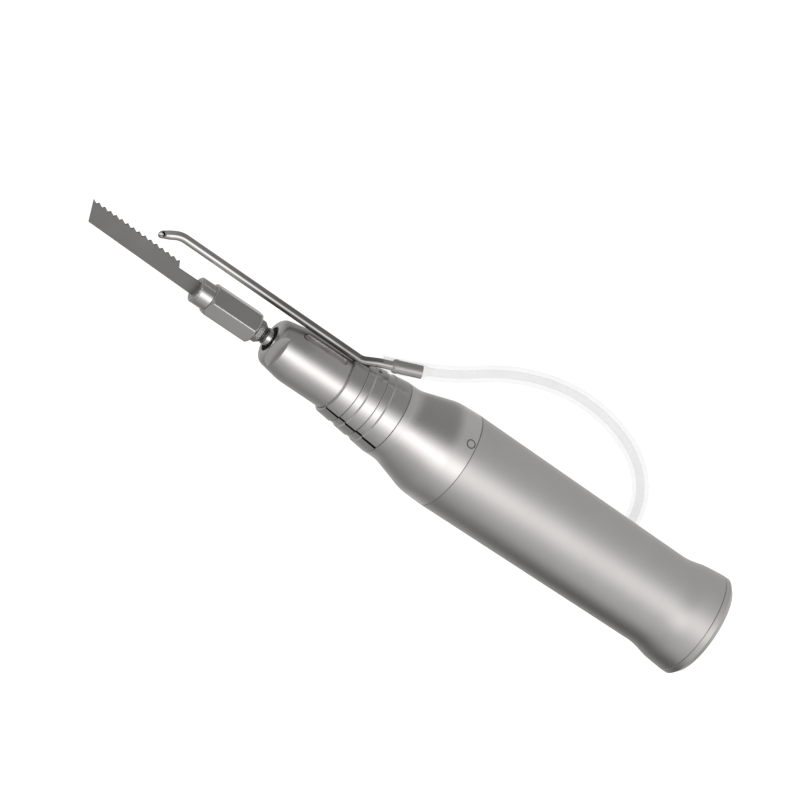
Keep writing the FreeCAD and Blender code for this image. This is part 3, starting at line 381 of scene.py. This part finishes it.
def rim_details(shader, colour, roughness, height):
    """Dents round the nut's front rim, where the blades knock against it."""
    x = shader.split(shader.place())["X"]
    rim = shader.rise(x, RIM_REAR, RIM_REAR + RIM_FADE)
    dents = shader.times(shader.noise(DENT_SIZE, detail=1.0), DENT_DEPTH)
    height = shader.plus(height, shader.times(rim, dents))
    return colour, roughness, height


def cross_cut(shader, colour, roughness, height):
    """Fine crossing cuts round the chuck's collar."""
    x, y, z = shader.split(shader.place())
    turn = shader.turn(y, z, COLLAR_RADIUS)
    for sign in (1, -1):
        slant = shader.plus(x, shader.times(turn, sign))
        wave = shader.maths("SINE", shader.times(slant, 2 * math.pi / CUT_PITCH))
        height = shader.plus(height, shader.times(wave, CUT_DEPTH))
    return colour, roughness, height


def rubber(name):
    material, shader, surface = new_material(name)
    fine = shader.noise(0.2 * MM)
    shader.wire(surface, "Base Color", shader.blend(fine, grey(0.012), grey(0.03)))
    shader.wire(surface, "Roughness", shader.spread(fine, 0.45, 0.65))
    shader.wire(surface, "Normal", shader.bump(fine, 0.01 * MM))
    return material


def bronze(name):
    material, shader, surface = new_material(name)
    fine = shader.noise(0.3 * MM)
    surface.inputs["Metallic"].default_value = 1.0
    shader.wire(surface, "Base Color", shader.blend(fine, (0.36, 0.2, 0.09, 1), (0.5, 0.3, 0.14, 1)))
    shader.wire(surface, "Roughness", shader.spread(fine, 0.3, 0.45))
    return material


SILICONE_IOR = 1.41


def silicone(name):
    """Clear, faintly milky silicone rubber."""
    material, shader, surface = new_material(name)
    clouds = shader.noise(4 * MM)
    shader.wire(surface, "Base Color",
                shader.blend(clouds, (0.43, 0.43, 0.427, 1), (0.48, 0.48, 0.477, 1)))
    shader.wire(surface, "Roughness", shader.spread(shader.noise(0.5 * MM), 0.25, 0.35))
    surface.inputs["IOR"].default_value = SILICONE_IOR
    shader.wire(surface, "Alpha", shader.spread(clouds, 0.1, 0.13))
    return material


# Turned steel has its grain round the X axis, and a ground blade has it along.
TURNED = (8, 1, 1)
GROUND = (0.2, 1, 4)

finishes = {
    "satin_steel": steel("satin_steel", (0.75, 0.79), (0.29, 0.33), details=casing_details,
                         bevel=0.05 * MM, nook=0.12 * MM),
    "clip_steel": steel("clip_steel", (0.75, 0.79), (0.285, 0.32), details=clip_details,
                        bevel=0.06 * MM, nook=0.3 * MM),
    "inner_steel": steel("inner_steel", (0.5, 0.6), (0.35, 0.5), stretch=TURNED),
    "gear_steel": steel("gear_steel", (0.55, 0.62), (0.25, 0.4), stretch=TURNED),
    "bearing_steel": steel("bearing_steel", (0.65, 0.7), (0.12, 0.2)),
    "polished_steel": steel("polished_steel", (0.75, 0.8), (0.1, 0.18), stretch=TURNED, nook=1.0 * MM),
    "chuck_steel": steel("chuck_steel", (0.73, 0.78), (0.1, 0.13), depth=0.0006 * MM,
                         details=rim_details, bevel=0.4 * MM, nook=0.4 * MM),
    "dark_steel": steel("dark_steel", (0.42, 0.52), (0.2, 0.27), details=cross_cut, nook=0.6 * MM),
    "blade_steel": steel("blade_steel", (0.255, 0.29), (0.4, 0.5), stretch=GROUND, bevel=0.04 * MM),
    "tube_steel": steel("tube_steel", (0.7, 0.74), (0.07, 0.1), details=tube_details),
    "sleeve_steel": steel("sleeve_steel", (0.42, 0.47), (0.3, 0.36)),
    "bronze": bronze("bronze"),
    "black_rubber": rubber("black_rubber"),
    "clear_silicone": silicone("clear_silicone"),
}
for name, node in nodes.items():
    for slot in node.material_slots:
        finish = "sleeve_steel" if name == "hose_barb" else slot.material.name.split(".")[0]
        slot.material = finishes[finish]

# Hose: its route in millimetres, from the barb round behind the handpiece to the bare end

HOSE_EXIT = (83.846, 0, 8.521)
HOSE_ROUTE = [
    (73.4, 0, 12.87), (63.0, -1.2, 20.9), (51.4, -4.2, 23.7), (39.6, -7.5, 22.3), (29.2, -10.5, 17.9),
    (22.2, -12.7, 11.3), (19.2, -13.7, 3.6), (20.4, -14.3, -4.6), (26.0, -14.6, -10.0), (34.0, -14.7, -11.4),
    (43.4, -14.5, -9.7), (53.6, -14.2, -9.3), (63.0, -13.8, -10.6),
]
HOSE_RADIUS = 1.66 * MM
LUMEN_RADIUS = 0.8 * MM
SOCKET_RADIUS = 1.4 * MM
SOCKET_LENGTH = 7.9 * MM
SOCKET_TAPER = 1.2 * MM
HOSE_SIDES = 40


def route_line(points):
    """Points along the smooth NURBS line of a route."""
    curve = bpy.data.curves.new("route", "CURVE")
    curve.dimensions = "3D"
    curve.resolution_u = 16
    spline = curve.splines.new("NURBS")
    spline.points.add(len(points) - 1)
    for point, place in zip(spline.points, points):
        point.co = (*(Vector(place) * MM), 1)
    spline.order_u = 3
    spline.use_endpoint_u = True
    holder = bpy.data.objects.new("route", curve)
    mesh = bpy.data.meshes.new_from_object(holder)
    line = [vertex.co.copy() for vertex in mesh.vertices]
    bpy.data.objects.remove(holder)
    return line


def hose_mesh(name, line):
    """A tube with a wall: out along the skin, back along the lumen, which widens over the barb."""
    ways = [(after - before).normalized()
            for after, before in zip(line[1:] + line[-1:], line[:1] + line[:-1])]
    turns = [2 * math.pi * step / HOSE_SIDES for step in range(HOSE_SIDES)]
    side = ways[0].orthogonal().normalized()
    rings, travelled = [], 0.0
    for index, (place, way) in enumerate(zip(line, ways)):
        if index:
            travelled += (place - line[index - 1]).length
        side = (side - way * side.dot(way)).normalized()
        up = way.cross(side)
        narrowing = min(max((travelled - SOCKET_LENGTH) / SOCKET_TAPER, 0), 1)
        inner = SOCKET_RADIUS + (LUMEN_RADIUS - SOCKET_RADIUS) * narrowing
        rings.append([[place + (side * math.cos(turn) + up * math.sin(turn)) * radius for turn in turns]
                      for radius in (HOSE_RADIUS, inner)])
    loops = [ring[0] for ring in rings] + [ring[1] for ring in reversed(rings)]
    vertices = [corner for loop in loops for corner in loop]
    faces = []
    for index in range(len(loops)):
        here, there = index * HOSE_SIDES, (index + 1) % len(loops) * HOSE_SIDES
        for step in range(HOSE_SIDES):
            after = (step + 1) % HOSE_SIDES
            faces.append((here + step, here + after, there + after, there + step))
    mesh = bpy.data.meshes.new(name)
    mesh.from_pydata(vertices, [], faces)
    mesh.shade_smooth()
    return mesh


line = route_line([HOSE_EXIT] + HOSE_ROUTE)
hose = add_object("clear_hose", hose_mesh("clear_hose", line))
hose.data.materials.append(finishes["clear_silicone"])
hose.visible_glossy = False
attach(hose, "clip")
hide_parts("silicone_hose")

# Camera

VIEW_AZIMUTH = math.radians(160.3)
VIEW_ELEVATION = math.radians(20.0)
AXIS_SLOPE = math.radians(33.9)
AIM = Vector((76.25, 0, 4.4)) * MM
DISTANCE = 6.0
PIXELS_PER_MM = 5.27
PICTURE_WIDTH = 800 / PIXELS_PER_MM * MM
SENSOR = 36.0
CLIP_RANGE = (0.1, 20)

back = Vector((math.sin(VIEW_AZIMUTH) * math.cos(VIEW_ELEVATION),
               -math.cos(VIEW_AZIMUTH) * math.cos(VIEW_ELEVATION), math.sin(VIEW_ELEVATION)))
along = Vector((1, 0, 0))
along = (along - back * along.dot(back)).normalized()
across = back.cross(along)
right = -math.cos(AXIS_SLOPE) * along - math.sin(AXIS_SLOPE) * across
up = math.sin(AXIS_SLOPE) * along - math.cos(AXIS_SLOPE) * across
camera = add_object("camera", bpy.data.cameras.new("camera"))
camera.data.sensor_width = SENSOR
camera.data.lens = SENSOR * DISTANCE / PICTURE_WIDTH
camera.data.clip_start, camera.data.clip_end = CLIP_RANGE
camera.matrix_world = standing(right, up, back, [AIM[row] + back[row] * DISTANCE for row in range(3)])
scene.camera = camera

# Floor, cards and lights

FLOOR_HEIGHT = -0.15
FLOOR_SIZE = 6.0
FLOOR_PAINT = (0.8, 0.82)
FLOOR_STAIN = 0.3
FLOOR_ROUGHNESS = 0.9
FLOOR_SEEN, FLOOR_GLOW = 0.2, 0.88
MIDDLE = 0.075
CARD_RADIUS = 0.11
CARD_REACH = 1.5
CARD_STEPS = 72
CARD_WARMTH = 0.015
SOFTBOX_DISTANCE, SOFTBOX_WIDTH, SOFTBOX_LENGTH = 0.5, 0.3, 2.0
ROOM_LIGHT = 0.6


def seen_directly(shader):
    """1 for what the camera sees by itself, in metal or through glass, and 0 for light on the object."""
    path = shader.add("ShaderNodeLightPath").outputs
    mirrored = shader.plus(path["Is Glossy Ray"], path["Is Transmission Ray"])
    return shader.maths("MINIMUM", shader.plus(path["Is Camera Ray"], mirrored), 1.0)


def make_floor():
    """A pale floor that glows where it is seen, so that it looks white and keeps the shadow."""
    mesh = bpy.data.meshes.new("floor")
    half = FLOOR_SIZE / 2
    mesh.from_pydata([(x, y, FLOOR_HEIGHT) for x, y in
                      ((-half, -half), (half, -half), (half, half), (-half, half))], [], [(0, 1, 2, 3)])
    floor = add_object("floor", mesh)
    material, shader, surface = new_material("pale_floor")
    seen = seen_directly(shader)
    paint = shader.blend(shader.noise(FLOOR_STAIN), grey(FLOOR_PAINT[0]), grey(FLOOR_PAINT[1]))
    shader.wire(surface, "Base Color", shader.blend(seen, paint, grey(FLOOR_SEEN)))
    surface.inputs["Roughness"].default_value = FLOOR_ROUGHNESS
    surface.inputs["Emission Color"].default_value = grey(1.0)
    shader.wire(surface, "Emission Strength", shader.times(seen, FLOOR_GLOW))
    mesh.materials.append(material)


# Brightness of what the metal mirrors, by angle round the handpiece from +Y up towards +Z: beside the
# sleeve, beside the nose and beside the head and blade. In front of that it's an even grey. The pairs of
# X below the curves say where each gives way to the next.
REAR_LIGHT = [
    (-180, 0.75), (-150, 0.58), (-121, 0.4), (-100, 0.07), (-84, 0.05), (-71, 0.17), (-59, 0.4), (-48, 0.52),
    (-38, 0.55), (-28, 0.53), (-19, 0.55), (-10, 0.62), (0, 0.79), (10, 1.02), (20, 1.15), (30, 1.06),
    (40, 0.85), (50, 0.64), (61, 0.54), (75, 0.48), (95, 0.45), (142, 0.44), (164, 0.5), (180, 0.75),
]
NOSE_LIGHT = [
    (-180, 0.9), (-150, 0.66), (-120, 0.56), (-95, 0.2), (-75, 0.22), (-55, 0.33), (-38, 0.42), (-24, 0.52),
    (-10, 0.9), (3, 1.3), (14, 1.43), (24, 1.1), (36, 0.72), (48, 0.5), (62, 0.46), (95, 0.5),
    (140, 0.48), (165, 0.42), (180, 0.9),
]
HEAD_LIGHT = [
    (-180, 0.5), (-150, 0.42), (-125, 0.34), (-100, 0.21), (-80, 0.22), (-55, 0.34), (-38, 0.42), (-24, 0.48),
    (-10, 0.86), (3, 1.38), (14, 1.75), (24, 1.22), (36, 0.57), (48, 0.26), (62, 0.19), (95, 0.225),
    (140, 0.24), (165, 0.26), (180, 0.5),
]
FRONT_LIGHT = 0.3
REAR_TO_NOSE = (0.0, 30 * MM)
NOSE_TO_HEAD = (35 * MM, 60 * MM)
HEAD_TO_FRONT = (150 * MM, 200 * MM)


def make_surroundings():
    """A wide tube of grey cards round the handpiece, seen only in metal, with one soft bright strip."""
    vertices, faces = [], []
    for step in range(CARD_STEPS + 1):
        angle = math.radians(-180 + 360 * step / CARD_STEPS)
        for x in (MIDDLE - CARD_REACH, MIDDLE + CARD_REACH):
            vertices.append((x, CARD_RADIUS * math.cos(angle), CARD_RADIUS * math.sin(angle)))
    for step in range(CARD_STEPS):
        faces.append((2 * step, 2 * step + 1, 2 * step + 3, 2 * step + 2))
    mesh = bpy.data.meshes.new("grey_cards")
    mesh.from_pydata(vertices, [], faces)
    card = add_object("grey_cards", mesh)
    material, shader, surface = new_material("grey_cards")
    shader.nodes.remove(surface)
    x, y, z = shader.split(shader.place())
    turn = shader.turn(y, z)
    level = shader.blend(shader.rise(x, *REAR_TO_NOSE), shader.ramp(turn, REAR_LIGHT),
                         shader.ramp(turn, NOSE_LIGHT))
    level = shader.blend(shader.rise(x, *NOSE_TO_HEAD), level, shader.ramp(turn, HEAD_LIGHT))
    level = shader.blend(shader.rise(x, *HEAD_TO_FRONT), level, grey(FRONT_LIGHT / PEAK))
    glow = shader.add("ShaderNodeEmission", Color=grey(1.0, CARD_WARMTH),
                      Strength=shader.times(level, PEAK))
    shader.wire(shader.nodes["Material Output"], "Surface", glow.outputs[0])
    mesh.materials.append(material)
    card.visible_camera = card.visible_diffuse = card.visible_transmission = card.visible_shadow = False


def make_softbox(name, angle, power):
    """A long soft light beside the handpiece at that angle from +Y up towards +Z."""
    light = bpy.data.lights.new(name, "AREA")
    light.shape = "RECTANGLE"
    light.size, light.size_y = SOFTBOX_LENGTH, SOFTBOX_WIDTH
    light.energy = power
    holder = add_object(name, light)
    holder.visible_glossy = False
    way = Vector((0, math.cos(math.radians(angle)), math.sin(math.radians(angle))))
    forward = Vector((1, 0, 0))
    place = Vector((MIDDLE, 0, 0)) + way * SOFTBOX_DISTANCE
    holder.matrix_world = standing(forward, way.cross(forward), way, place)


make_floor()
make_surroundings()
make_softbox("front_softbox", angle=10, power=3.0)
make_softbox("rear_softbox", angle=170, power=2.0)

world = bpy.data.worlds.new("studio")
scene.world = world
sky = Shader(world)
backdrop = sky.blend(seen_directly(sky), grey(ROOM_LIGHT), grey(1.0))
sky.wire(sky.nodes["Background"], "Color", backdrop)

scene.view_settings.view_transform = "Standard"
